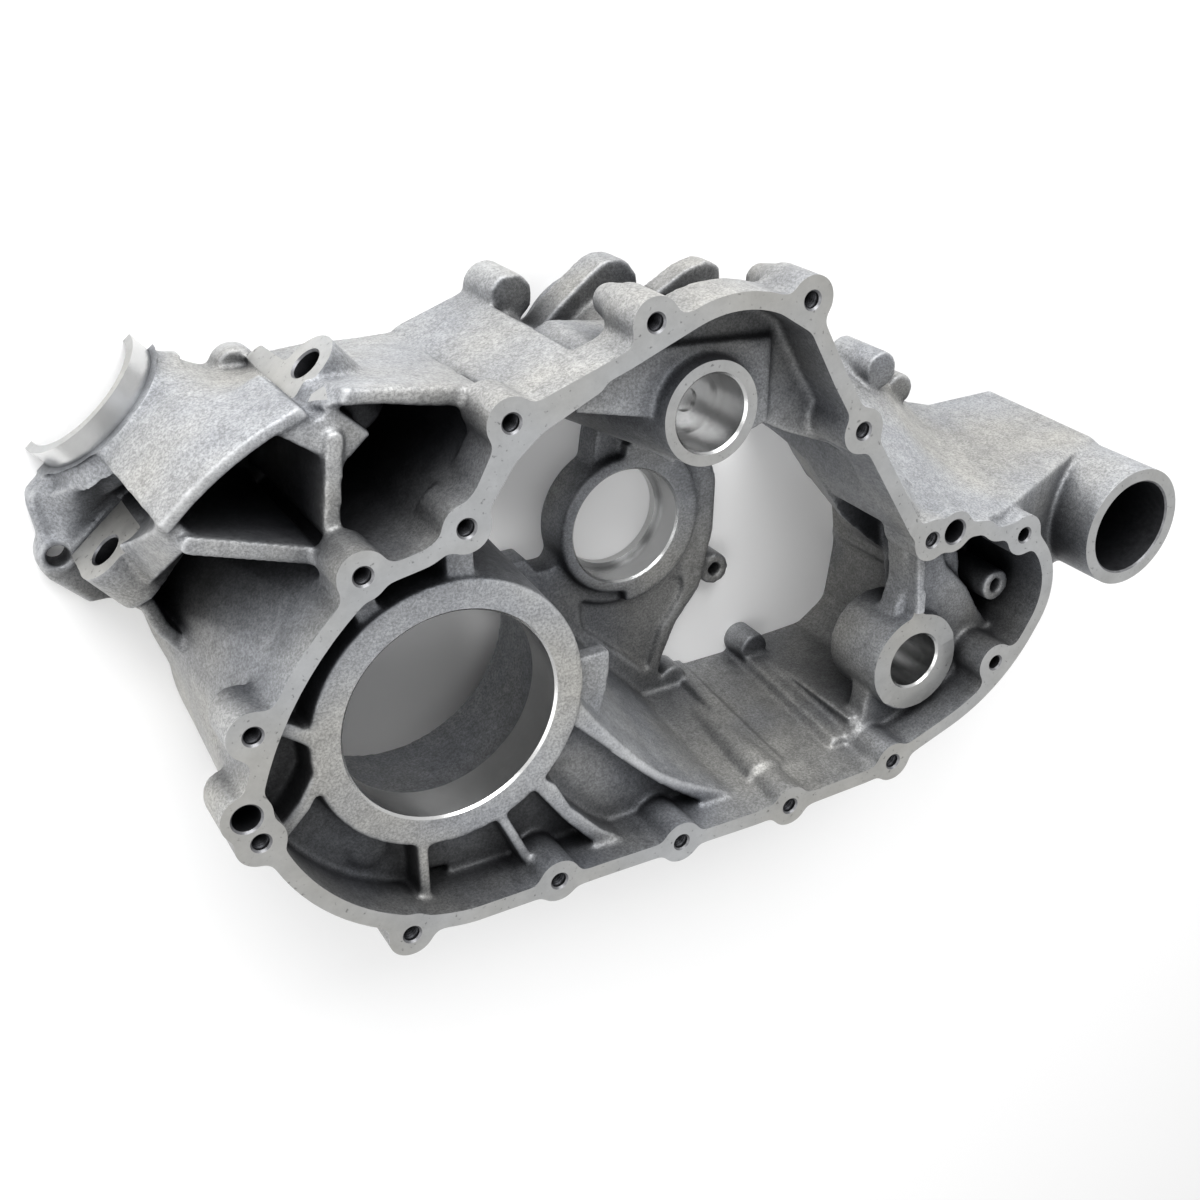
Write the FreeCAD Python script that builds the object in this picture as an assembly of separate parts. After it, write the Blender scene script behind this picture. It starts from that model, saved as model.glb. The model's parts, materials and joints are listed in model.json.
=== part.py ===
import FreeCAD, Part

# One half of a split gearbox housing, die cast in aluminium and machined on its joint faces and seats.
# It lies on its rear joint face (z = 0) with the front joint flange on top (z = CASE_DEPTH).
# The plan is drawn from the main bearing axis; the finished solid is moved so that the origin is
# under the middle of its footprint.

import math
import os

# Driving sizes, in millimetres
CASE_DEPTH = 112.0        # rear joint face to front joint flange
SEAT_LEVEL = 100.0        # machined ends of the main, cup and small bearing bosses
FLOOR_LEVEL = 86.0        # front of the main floor, between the annulus and the rim
FLOOR_THICK = 8.0
RIM_WALL = 7.0            # width of the joint flange and thickness of the outer wall
BOSS_R = 10.0             # flange screw bosses
BOSS_DEPTH = 22.0         # length of the screw bosses behind the flange
BLEND_R = 5.0             # cast fillet between a screw boss and the rim
SWELL = 4.0               # bulge of the outer wall past the flange, bottom right
SCREW_R = 3.4             # core of an M8 thread
SCREW_DEPTH = 17.0
DOWEL_R = 5.5
DOWEL_DEPTH = 14.0
SEAT_CHAMFER = 1.0        # lead-in of the bearing seats

MAIN_R = 45.0             # main bearing seat
MAIN_SEAT = 20.0          # depth of the main seat
MAIN_RING = 13.0          # width of the ring round the main seat
MAIN_RELIEF_R = 55.0      # room behind the main seat
MAIN_HUB_REAR = 29.5      # rear end of the main hub

CUP_X, CUP_Y = 115.8, 102.2
CUP_R = 16.0
CUP_DEPTH = 16.0
CUP_WALL = 5.4
CUP_RELIEF_R = 13.3
CUP_RELIEF = 2.5
CUP_FOOT_R = 34.0
DIMPLE_R = 5.0            # clearance for the lathe centre in the bottom of the cup
DIMPLE_DEPTH = 1.5

MID_X, MID_Y = 125.9, 19.7
MID_R = 27.5
MID_SEAT = 16.0
MID_LEVEL = 20.0          # front face of the mid bearing ring
MID_RING_R = 40.0
MID_LIP = 2.5             # shoulder behind the mid seat
WEB_THICK = 14.0          # rear web that carries the mid bearing
WEB_RECESS = 3.0          # depth of the web inside its edge strip

SMALL_X, SMALL_Y = 236.9, -43.9
SMALL_R = 13.5
SMALL_RING = 10.5
SLOT_WIDTH = 3.0          # oil slot in the small seat
SLOT_REACH = 16.0         # from the bore axis to the bottom of the slot
PLATE_LEVEL = 92.0        # front of the plate that carries the small bearing
PLATE_THICK = 12.0

TUBE_X, TUBE_Y = 358.0, 2.0
TUBE_R = 30.1
TUBE_BORE_R = 23.4
TUBE_BORE_DEPTH = 100.0
NECK_FALL = 34.0          # drop of the neck's front from the rim to the tube
POCKET_DEPTH = 74.0       # of the pocket between the case, the neck and the tube

LOBE_LEVEL = 88.0         # floor of the top lobe, round the cup
POCKET_FLOOR = 60.0       # floor of the small right-hand chamber
SPOT_X, SPOT_Y = 288.0, -19.0
SPOT_LEVEL = 96.0
SPOT_R = 8.0

# Pinion nose: its axis lies in the rear joint face, so the case holds half of the bearing
NOSE_ANGLE = 130.0        # direction of the pinion axis, from +X
PINION_R = 26.0
PINION_LIP_R = 25.0
PINION_RING_R = 28.5
PINION_END = 156.0        # outer end of the half ring, from the main axis
PINION_ROOT = 146.0
PINION_SEAT_DEPTH = 14.0
PINION_BACK = 134.0       # inner end of the half ring's bore
SHAFT_R = 15.0            # clearance for the pinion shaft behind the bore
ARCH_R = 139.0            # front edge of the nose wall, from the main axis
ARCH_LEVEL = 89.0
ARCH_ROOT_R = 150.0       # the same wall at the rear joint face
ARCH_WALL = 5.0
PAD_1_END = 122.0         # machined pads for the screws along the pinion axis
PAD_2_END = 121.0
PAD_R = 13.0
PAD_SCREW_R = 6.1
PAD_SCREW_DEPTH = 24.0
PAD_1_V, PAD_1_Z = 63.0, 54.0
PAD_2_V, PAD_2_Z = -36.5, 33.0
PAD_2_BACK = 100.0        # inner end of the lower pad's boss
NOSE_END_V = -11.0        # the bell-shaped wall ends here, across the pinion axis

LUG_X, LUG_Y = -119.0, 60.0   # screw lug at the rear corner of the nose
LUG_R = 7.5
LUG_HOLE_R = 4.3
WEB_LUG_X, WEB_LUG_Y = 182.0, -20.0   # screw lug on the edge of the rear web
WEB_LUG_R = 8.0
WEB_LUG_HOLE_R = 3.3

# Middle of the footprint, from the main bearing axis
ORIGIN_X = 131.0
ORIGIN_Y = 25.0

UP = FreeCAD.Vector(0, 0, 1)


# Plan of the joint flange: outer edge, clockwise from the top left; a third value is a corner
# radius, and "arc" gives the middle point of a round stretch
RIM_OUTLINE = [
    (27, 124), (69, 138, 12), (96, 148.5), ("arc", 119, 153), (141, 148),
    (158, 137, 14), (172, 112, 40), (194, 77, 30), (222, 33, 8), (262, 28, 8), (268, 22.5, 6),
    (286, 23.5), (298.5, 9), ("arc", 308.5, -17), (302, -38), ("arc", 283, -62), (254, -79),
    (232, -86.5, 20), (208, -94.5, 30), (140, -95.5, 60), (60, -93, 60),
    (0, -92), ("arc", -67, -55), (-87, 0), ("arc", -66, 43), (-33, 76),
    (-10, 80, 14), (15, 105, 14),
]

# Screws of the joint flange: threaded, then plain, then dowels
RIM_SCREWS = [
    (82, 147), (152, 145), (183, 86), (228, 26), (219, -88), (159, -92), (100, -90), (39, -87),
    (-28, -87), (-83, -21), (-81, 24), (-36, 75), (4, 84), (23, 120),
]
RIM_PLAIN = [(285, 15), (278, -51)]
RIM_DOWELS = [(241, 27), (-87, -9)]


def vec(x, y, z=0.0):
    return FreeCAD.Vector(x, y, z)


def corner(before, at, after, radius):
    """Tangent points and middle point of the arc that rounds one corner, or None if it is flat."""
    a = (before - at).normalize()
    b = (after - at).normalize()
    half = a.getAngle(b) / 2
    if half > math.radians(89.5):
        return None
    reach = radius / math.tan(half)
    middle = (a + b).normalize()
    centre = at + middle * (radius / math.sin(half))
    return at + a * reach, centre - middle * radius, at + b * reach


def outline(points, z=0.0):
    """Closed wire through plan points, with rounded corners and three-point arcs."""
    nodes = [p for p in points if p[0] != "arc"]
    bulge = {}
    for i, p in enumerate(points):
        if p[0] == "arc":
            before = points[i - 1]
            bulge[nodes.index(before)] = vec(p[1], p[2], z)
    spots = [vec(p[0], p[1], z) for p in nodes]
    count = len(spots)
    rounds = []
    for i, p in enumerate(nodes):
        if len(p) > 2:
            rounds.append(corner(spots[i - 1], spots[i], spots[(i + 1) % count], p[2]))
        else:
            rounds.append(None)
    edges = []
    for i in range(count):
        j = (i + 1) % count
        start = rounds[i][2] if rounds[i] else spots[i]
        end = rounds[j][0] if rounds[j] else spots[j]
        if i in bulge:
            edges.append(Part.Arc(spots[i], bulge[i], spots[j]).toShape())
        else:
            edges.append(Part.LineSegment(start, end).toShape())
        if rounds[j]:
            edges.append(Part.Arc(*rounds[j]).toShape())
    return Part.Wire(edges)


def prism(points, low, high):
    """Solid of a plan outline between two levels."""
    face = Part.Face(outline(points, low))
    return face.extrude(vec(0, 0, high - low))


def drum(x, y, radius, low, high):
    return Part.makeCylinder(radius, high - low, vec(x, y, low), UP)


def taper(x, y, low_radius, high_radius, low, high):
    return Part.makeCone(low_radius, high_radius, high - low, vec(x, y, low), UP)


def loft(rings, levels):
    """Ruled solid between plan polygons with equal numbers of corners, one at each level."""
    wires = []
    for ring, level in zip(rings, levels):
        wires.append(Part.makePolygon([vec(x, y, level) for x, y in ring + ring[:1]]))
    solid = Part.makeLoft(wires, True, True)
    return solid if solid.Volume > 0 else solid.reversed()


def slab_wall(path, thick, low, high):
    """Upright wall of one thickness that follows a plan path, with round ends and corners."""
    pieces = []
    for start, end in zip(path, path[1:]):
        a = vec(*start, low)
        b = vec(*end, low)
        along = b - a
        side = vec(-along.y, along.x).normalize() * (thick / 2)
        ring = Part.makePolygon([a + side, b + side, b - side, a - side, a + side])
        pieces.append(Part.Face(ring).extrude(vec(0, 0, high - low)))
    for x, y in path:
        pieces.append(drum(x, y, thick / 2, low, high))
    return pieces[0].multiFuse(pieces[1:])


def curve_wall(front_top, back_top, front_foot, back_foot, top, foot):
    """Leaning wall between two curved lines at its top and two at its foot."""
    sections = []
    for front, back, level in ((front_foot, back_foot, foot), (front_top, back_top, top)):
        near = Part.BSplineCurve()
        near.interpolate([vec(x, y, level) for x, y in front])
        far = Part.BSplineCurve()
        far.interpolate([vec(x, y, level) for x, y in back])
        end_1 = Part.LineSegment(vec(*front[-1], level), vec(*back[0], level))
        end_2 = Part.LineSegment(vec(*back[-1], level), vec(*front[0], level))
        sections.append(Part.Wire([c.toShape() for c in (near, end_1, far, end_2)]))
    return Part.makeLoft(sections, True, True)


def nose_point(t, v, z):
    """Point from its distance along the pinion axis, its offset across the axis and its level."""
    a = math.radians(NOSE_ANGLE)
    return vec(t * math.cos(a) + v * math.sin(a), t * math.sin(a) - v * math.cos(a), z)


def nose_axis():
    return nose_point(1, 0, 0)


def nose_drum(v, z, radius, start, end):
    return Part.makeCylinder(radius, end - start, nose_point(start, v, z), nose_axis())


def nose_prism(corners, low, high):
    """Upright prism whose plan corners are given along and across the pinion axis."""
    spots = [nose_point(t, v, low) for t, v in corners]
    return Part.Face(Part.makePolygon(spots + spots[:1])).extrude(vec(0, 0, high - low))


def fuse(pieces):
    return pieces[0].multiFuse(pieces[1:])


def inside(low):
    """Room inside the flange, from a level up."""
    face = Part.Face(outline(RIM_OUTLINE)).makeOffset2D(-RIM_WALL)
    face.translate(vec(0, 0, low))
    return face.extrude(vec(0, 0, CASE_DEPTH + 1 - low))


def rim():
    """Outer wall, with the flange's screw bosses blended into it in plan."""
    outer = prism(RIM_OUTLINE, 0, 1)
    inner = Part.Face(outline(RIM_OUTLINE)).makeOffset2D(-RIM_WALL).extrude(UP)
    bosses = [drum(x, y, BOSS_R, 0, 1) for x, y in RIM_SCREWS + RIM_PLAIN + RIM_DOWELS]
    bosses.append(prism([(10, 86), (15, 92), (24, 105, 8), (35, 114), (60, 125.5), (40, 127), (20, 120), (8, 98)], 0, 1))
    flat = outer.cut(inner).multiFuse(bosses).removeSplitter()
    plan = [face for face in flat.Faces if face.CenterOfMass.z < 0.001][0]
    plan = plan.makeOffset2D(BLEND_R).makeOffset2D(-BLEND_R)
    plan.translate(vec(0, 0, CASE_DEPTH - BOSS_DEPTH))
    flange = plan.extrude(vec(0, 0, BOSS_DEPTH))
    skirt = outer.cut(inner).Faces
    skirt = [face for face in skirt if face.CenterOfMass.z < 0.001][0]
    skirt = skirt.extrude(vec(0, 0, CASE_DEPTH - BOSS_DEPTH + 1))
    lobe = prism([(60, 126), (110, 128), (157, 118), (170, 60), (212, 10), (300, 10), (300, 180), (60, 180)],
                 -1, CASE_DEPTH)
    columns = [drum(x, y, BOSS_R - 1, 0, CASE_DEPTH - 1) for x, y in RIM_SCREWS[5:8]]
    columns += [taper(x, y, BOSS_R - 4, BOSS_R, CASE_DEPTH - 37, CASE_DEPTH - 18) for x, y in RIM_SCREWS[:2]]
    skirt = skirt.cut(fuse([lobe, drum(0, 0, 130, -1, CASE_DEPTH).common(Part.makeBox(60, 300, 300, vec(-120, -64, -1)))]))
    side = Part.makeCone(82.5, 87, CASE_DEPTH - BOSS_DEPTH).cut(Part.makeCone(75.5, 80, CASE_DEPTH - BOSS_DEPTH))
    side = side.common(Part.makeBox(60, 70, 300, vec(-120, -68, 0)))
    return fuse([flange, skirt, side, left_skirt(), swell()] + columns)


def left_skirt():
    """Outer wall beside the pinion nose; it spreads from the flange down to the rear joint face."""
    top = [(-87, -4), (-82, 20), (-66, 43), (-50, 60), (-36, 73), (-31, 68), (-45, 55), (-61, 39), (-76, 18),
           (-80, -4)]
    foot = [(-82, -4), (-88, 14), (-93, 36), (-80, 60), (-50, 74), (-44, 66), (-72, 54), (-84, 36), (-80, 16),
            (-75, -4)]
    return loft([foot, top], [0, CASE_DEPTH - BOSS_DEPTH + 1])


def swell():
    """Stretch of the outer wall, bottom right, that stands past the edge of the flange."""
    face = Part.Face(outline(RIM_OUTLINE, 30)).makeOffset2D(SWELL)
    wall = face.extrude(vec(0, 0, CASE_DEPTH - 40)).cut(inside(29))
    return wall.common(Part.makeBox(90, 101, CASE_DEPTH, vec(228, -100, 0)))


def main_floor():
    low = FLOOR_LEVEL - FLOOR_THICK
    left = drum(0, -2, 79, low, FLOOR_LEVEL)
    left = left.cut(prism([(0, 0), (10, 120), (120, 120), (120, 0)], low - 1, SEAT_LEVEL))
    right = prism([(0, -87), (140, -90), (128, -80), (98, -60), (73, -32), (54, -4), (50, 20), (37, 46),
                   (20, 60), (0, 60)],
                  low, FLOOR_LEVEL)
    gap = drum(0, 0, 71.5, low - 1, SEAT_LEVEL).cut(drum(0, 0, 40, low - 1, SEAT_LEVEL))
    gap = gap.common(prism([(0, 0), (-110, 60), (-60, 130), (60, 120), (70, 10)], low - 1, SEAT_LEVEL))
    return fuse([left, right]).cut(gap)


def main_hub():
    ring = MAIN_R + MAIN_RING
    return taper(0, 0, ring + 4, ring, MAIN_HUB_REAR, SEAT_LEVEL)


def floor_ribs():
    low = FLOOR_LEVEL - FLOOR_THICK
    ribs = [
        prism([(38, -42), (45, -48), (52, -62), (67, -79), (86, -93), (69, -92), (49, -68), (34, -46)],
              low, SEAT_LEVEL),
        slab_wall([(18, -52), (33, -86)], 4.5, low, SEAT_LEVEL),
        slab_wall([(-16, -50), (-16, -88)], 5, low, SEAT_LEVEL),
        slab_wall([(-52, -4), (-62, -20), (-76, -34)], 6, low, SEAT_LEVEL),
        slab_wall([(-50, 2), (-62, 12), (-76, 22)], 6, low, SEAT_LEVEL),
        slab_wall([(-28, 46), (-34, 66)], 10, MAIN_HUB_REAR, SEAT_LEVEL - 4),
        slab_wall([(8, 48), (8, 78)], 12, MAIN_HUB_REAR, SEAT_LEVEL - 4),
        drum(-34, -59, 8, low, FLOOR_LEVEL + 1),
    ]
    return fuse(ribs)


def chamber_wall():
    """Wall between the main floor and the gear chamber; it leans out from its crest to the rear web."""
    crest = [(50, 4), (57, -12), (73, -34), (98, -62), (131, -83), (152, -95)]
    behind = [(138, -98), (122, -87), (91, -62), (67, -37), (51, -19), (44, -2)]
    foot = [(82, 2), (93, -20), (103, -31), (117, -48), (135, -70), (152, -95)]
    foot_behind = [(142, -98), (126, -74), (109, -54), (96, -36), (86, -23), (74, 0)]
    return curve_wall(crest, behind, foot, foot_behind, SEAT_LEVEL - 3, 0)


def rear_web():
    """Plate at the rear joint face that carries the mid bearing, with a raised ring round the seat."""
    edge = [(64, 12), (77, 12), (83, 4), (91, 4), (110, 40), (113, 62), (117, 80), (166, 78),
            (174, 46, 10), (180, 30, 20), (179, 2), (172, -27), (159, -43), (151, -61), (148, -80),
            (135, -80), (80, -30), (60, 0)]
    plate = prism(edge, 0, WEB_THICK)
    hollow = prism([(106, -32), (143, -66), (150, -44, 6), (163, -26, 6), (160, -10), (104, -10)],
                   WEB_THICK - WEB_RECESS, WEB_THICK + 1)
    plate = plate.cut(hollow.cut(drum(MID_X, MID_Y, MID_RING_R + 2, 0, MID_LEVEL)))
    boss = drum(MID_X, MID_Y, 34, 0, MID_LEVEL)
    ring = drum(MID_X, MID_Y, MID_RING_R, 0, MID_LEVEL)
    ring = ring.common(prism([(126, -40), (190, -40), (190, 80), (126, 80)], 0, MID_LEVEL))
    lug = fuse([drum(WEB_LUG_X, WEB_LUG_Y, WEB_LUG_R, 0, 12), slab_wall([(160, -14), (WEB_LUG_X, WEB_LUG_Y)], 9, 0, 12)])
    shoulder = prism([(117, 70), (119, 84), (150, 92), (150, 70, 8), (134, 58)], 0, 46)
    return fuse([plate, boss, ring, lug, shoulder])


def cup_column():
    return taper(CUP_X, CUP_Y, CUP_FOOT_R, CUP_R + CUP_WALL, 0, SEAT_LEVEL)


def top_lobe():
    """Floor round the cup, and the wall that ties it to the rear web."""
    low = LOBE_LEVEL - FLOOR_THICK
    floor = prism([(82, 134), (100, 142), (119, 148), (141, 146), (154, 134), (170, 110), (203, 60), (187, 71),
                   (163, 81), (152, 87), (137, 93), (116, 100), (100, 108)], low, LOBE_LEVEL)
    tie = prism([(117, 76), (150, 86), (158, 116), (138, 123), (120, 130), (106, 132), (95, 124), (100, 104)],
                0, WEB_THICK)
    return fuse([floor, tie])


def lower_wall():
    """Draft of the lower wall: its inner face leans in towards the rear joint face."""
    side = Part.makePolygon([vec(60, -90, 0), vec(60, -77, 0), vec(60, -88.5, CASE_DEPTH), vec(60, -90, CASE_DEPTH),
                             vec(60, -90, 0)])
    wedge = Part.Face(side).extrude(vec(160, 0, 0))
    ridges = [ridge(167, 20, 3), ridge(206, 24, 5)]
    columns = fuse([drum(x, y + 1, BOSS_R + 1.5, 0, CASE_DEPTH - BOSS_DEPTH + 2) for x, y in RIM_SCREWS[4:6]])
    return fuse([wedge, columns.common(Part.makeBox(200, 60, CASE_DEPTH, vec(100, -102, 0)))] + ridges)


def ridge(x, width, height):
    """Low ridge along the inner face of the lower wall."""
    rings = []
    for level, y in ((0, -77 + height), (CASE_DEPTH - BOSS_DEPTH, -87 + height)):
        rings.append([(x - width / 2, -90), (x - width / 5, y), (x + width / 5, y), (x + width / 2, -90)])
    return loft(rings, [0, CASE_DEPTH - BOSS_DEPTH])


REAR_CHAMBER = [(150, 60), (211, 50, 6), (228, 40, 10), (245, 12, 20), (263, -2, 8), (266, -30, 30),
                (262, -62, 10), (246, -73, 8), (222, -74), (150, -74)]


def chamber():
    """Room of the gear chamber behind the small bearing plate; it opens out towards the rear."""
    top = [(140, 75), (176, 66), (196, 44), (214, 16), (236, -4), (262, -14), (262, -62), (246, -78),
           (222, -82), (150, -84)]
    foot = [(150, 60), (211, 50), (226, 42), (245, 13), (262, -1), (265, -20), (261, -60), (247, -72),
            (222, -73), (150, -74)]
    return loft([foot, top], [0, PLATE_LEVEL - PLATE_THICK])


def rear_side():
    """Round side wall of the gear chamber behind the small bearing plate."""
    face = Part.Face(outline(REAR_CHAMBER))
    wall = face.makeOffset2D(RIM_WALL).extrude(vec(0, 0, PLATE_LEVEL - 4))
    wall = wall.cut(face.extrude(vec(0, 0, PLATE_LEVEL)))
    return wall.cut(prism([(100, 100), (208, 100), (208, -66), (218, -110), (100, -110)], -1, CASE_DEPTH))


def small_plate():
    low = PLATE_LEVEL - PLATE_THICK
    edge = [(228, 30), (231, 6), (233, -5, 8), (228, -24), (223, -37), (217, -56), (215, -86),
            (240, -82), (277, -62), (279, -52), (289, -44, 4), (281, -33), (273, -20), (257, -3), (252, 14)]
    plate = prism(edge, low, PLATE_LEVEL)
    ring = drum(SMALL_X, SMALL_Y, SMALL_R + SMALL_RING, low - 14, SEAT_LEVEL)
    toe = drum(SMALL_X + 2, SMALL_Y - 3, SMALL_R + SMALL_RING, low - 14, SEAT_LEVEL)
    rib = slab_wall([(236, -24), (234, 26)], 5, low, SEAT_LEVEL)
    side = slab_wall([(251, 14), (257, -3), (273, -20), (281, -33), (288, -42)], 4, POCKET_FLOOR, PLATE_LEVEL)
    return fuse([plate, ring, toe, rib, side])


def right_pocket():
    low = POCKET_FLOOR - 6
    floor = prism([(248, 16), (290, 12), (304, -17, 10), (296, -44), (276, -60), (260, -60), (252, -10)],
                  low, POCKET_FLOOR)
    return fuse([floor, drum(SPOT_X, SPOT_Y, SPOT_R, low, SPOT_LEVEL)])


def neck():
    """Hollow arm from the right-hand wall to the breather tube; its front falls towards the tube."""
    foot = [(200, 60), (240, 76), (262, 80), (280, 70), (295, 52), (307, 41), (324, 36), (366, 36), (386, 20),
            (374, -24), (340, -34), (300, -50), (230, 0)]
    crest = [(196, 68), (212, 52), (226, 34), (240, 30), (252, 29), (263, 28), (275, 27), (366, 33), (386, 20),
             (374, -20), (340, -25), (300, -46), (222, 6)]
    arm = loft([foot, crest], [0, CASE_DEPTH - 4])
    fall = Part.makePolygon([vec(190, 0, CASE_DEPTH - 8), vec(265, 0, CASE_DEPTH - 2),
                             vec(TUBE_X - 5, 0, CASE_DEPTH - NECK_FALL), vec(400, 0, 60),
                             vec(400, 0, 130), vec(190, 0, 130), vec(190, 0, CASE_DEPTH - 8)])
    fall = Part.Face(fall).extrude(vec(0, 200, 0))
    fall.translate(vec(0, -100, 0))
    hollow = prism([(272, 16), (300, -36, 8), (330, -28), (330, 20, 10), (292, 24, 8), (274, 26)], -1, 54)
    pocket = prism([(311, -14), (322, -15), (334, -21), (306, -37.5), (312, -24)],
                   CASE_DEPTH - POCKET_DEPTH, CASE_DEPTH)
    return arm.cut([fall, hollow, pocket, chamber(), inside(POCKET_FLOOR - 6)])


def tube():
    return drum(TUBE_X, TUBE_Y, TUBE_R, 0, CASE_DEPTH)


def nose():
    """Pinion nose: bell-shaped wall, half bearing ring, foot, pads and pocket ribs."""
    foot = [nose_point(t, v, 0) for t, v in ((108, 53), (114, 50), (128, 37), (146, 28), (150, 2), (149, NOSE_END_V))]
    crest = []
    for v in (64, PAD_1_V - PAD_R, 37, 20, 4, NOSE_END_V):
        crest.append(nose_point(math.sqrt(ARCH_R ** 2 - v ** 2), v, ARCH_LEVEL))
    sections = []
    for line in (foot, crest):
        curve = Part.BSplineCurve()
        curve.interpolate(line)
        low = line[0].z
        back = [nose_point(90, NOSE_END_V, low), nose_point(90, 40, low), nose_point(100, 64, low)]
        closing = Part.makePolygon([line[-1]] + back + [line[0]])
        sections.append(Part.Wire([curve.toShape()] + closing.Edges))
    bell = Part.makeLoft(sections, True, True)
    inside = Part.makeCone(ARCH_ROOT_R - 26, ARCH_R - ARCH_WALL, ARCH_LEVEL + 0.01)
    inside = inside.cut(Part.makeBox(400, 400, 8, vec(-200, -200, 0)))
    bell = bell.cut(inside)
    bell = bell.cut(nose_prism([(PAD_1_END, PAD_1_V - PAD_R), (180, PAD_1_V - PAD_R), (180, 100), (PAD_1_END, 100)],
                               -1, CASE_DEPTH))
    ring = nose_drum(0, 0, PINION_RING_R, PINION_BACK - 6, PINION_END)
    root = Part.makeCone(PINION_RING_R + 7, PINION_RING_R, 8, nose_point(PINION_ROOT - 8, 0, 0), nose_axis())
    front = Part.makeBox(400, 400, 200, vec(-300, -100, -200))
    bearing = fuse([ring, root]).cut(front)
    floor = nose_prism([(70, -50), (94, -55), (99, -61), (118, -62.5), (124, -61), (129, -56), (131, -52), (142, -45), (146, -41), (146, 28),
                        (128, 37), (114, 50), (104, 66), (100, 76), (70, 76)], 0, 8)
    ledge = nose_prism([(100, -50), (122, -50), (142, -44), (146, -36), (147, -8), (100, -8)], 0, 12)
    return fuse([bell, bearing, floor, ledge, cheek(), nose_pads(), nose_sides()])


def cheek():
    """Sloping skin between the lower pad and the root of the half ring, beside the bell-shaped wall."""
    rings = []
    for t, ring in ((PAD_2_END, ((-49, 2), (-49, 12), (-36, 12), (-9, 14), (-9, 2))),
                    (PINION_ROOT - 4, ((-40, 2), (-38, 8), (-29, 20), (-9, 32), (-9, 2)))):
        spots = [nose_point(t, v, z) for v, z in ring]
        rings.append(Part.makePolygon(spots + spots[:1]))
    solid = Part.makeLoft(rings, True, True)
    return solid if solid.Volume > 0 else solid.reversed()


def nose_pads():
    """Bosses along the pinion axis, each with a flat end for its screw, and what ties them to the nose."""
    first = nose_drum(PAD_1_V, PAD_1_Z, PAD_R, 92, PAD_1_END)
    corners = [(50, 12), (58, 15), (59, 42), (63, 54), (50, 56), (50, 12)]
    flat = Part.Face(Part.makePolygon([nose_point(PAD_1_END, v, z) for v, z in corners]))
    flat = flat.extrude(nose_point(-20, 0, 0))
    second = nose_drum(PAD_2_V, PAD_2_Z, PAD_R, PAD_2_BACK, PAD_2_END)
    corners = [(-49, 2), (-14, 2), (-14, 40), (-32, 45), (-49, 34), (-49, 2)]
    low = Part.Face(Part.makePolygon([nose_point(PAD_2_END, v, z) for v, z in corners]))
    low = low.extrude(nose_point(PAD_2_BACK - PAD_2_END, 0, 0))
    bridge = [nose_point(t, v, 0) for t, v in ((101, 44), (134, 36), (130, 49.5), (120, 50), (120, 58), (101, 60))]
    bridge = prism([(p.x, p.y) for p in bridge], 48, ARCH_LEVEL - 2)
    return fuse([first, flat, second, low, pad_gusset(), bridge])


def pad_gusset():
    """Rounded shoulder from the end of the bell-shaped wall down to the lower pad."""
    foot = [(PAD_2_BACK, -8), (120, -8), (120, -34), (PAD_2_BACK + 1, -40)]
    head = [(124, -6), (137, -6), (137, NOSE_END_V - 1), (124, NOSE_END_V - 2)]
    rings = []
    for ring in (foot, head):
        spots = [nose_point(t, v, 0) for t, v in ring]
        rings.append([(p.x, p.y) for p in spots])
    return loft(rings, [38, ARCH_LEVEL - 3])


def nose_sides():
    """Side walls of the nose and the two ribs that part its pockets."""
    foot = [(-33, 122), (-15, 123), (8, 122), (26, 122), (26, 114), (8, 115), (-15, 116), (-33, 115)]
    crest = [(-30, 136), (-15, 134), (3, 131), (22, 128), (22, 120), (0, 124), (-17, 128), (-32, 130)]
    top = loft([foot, crest], [0, 92])
    return fuse([
        top,
        slab_wall([(-34, 117), (-38, 84)], 7, 0, 90),
        slab_wall([(-88, 90), (-46, 76)], 7, 0, 90),
        slab_wall([(-95, 47), (-91, 35), (-83, 24)], 6, 0, 40),
    ])


def rear_lugs():
    """Screw lugs and stiffening webs on the outside of the case, at the rear joint face."""
    loop = [(72, 117), (88, 131), (101, 141, 10), (110, 147, 10), (120, 146, 8), (125, 139), (127, 128), (118, 116)]
    fin = [(116, 130), (120, 138), (134, 145.5, 8), (144, 148, 8), (151, 144, 4), (152, 126), (120, 120)]
    return fuse([
        drum(LUG_X, LUG_Y, LUG_R, 0, 10),
        drum(-42, 120, 9, 0, 10),
        drum(68, 136, 10, 0, 24),
        drum(262, 74, 9, 0, 30),
        drum(284, 57, 8, 0, 20),
        drum(158, -76, 8, 0, 14),
        drum(206, -70, 8, 0, 16),
        prism(loop, 12, 28),
        prism(fin, 40, 52),
        prism([(58, 128), (66, 130), (82, 118), (110, 124), (140, 118), (150, 90), (117, 80), (100, 100), (60, 110)],
              0, CASE_DEPTH - 36),
        prism([(58, 128), (70, 134), (96, 130), (150, 126), (150, 90), (117, 80), (100, 100), (60, 110)],
              50, CASE_DEPTH - 20),
    ])


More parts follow.
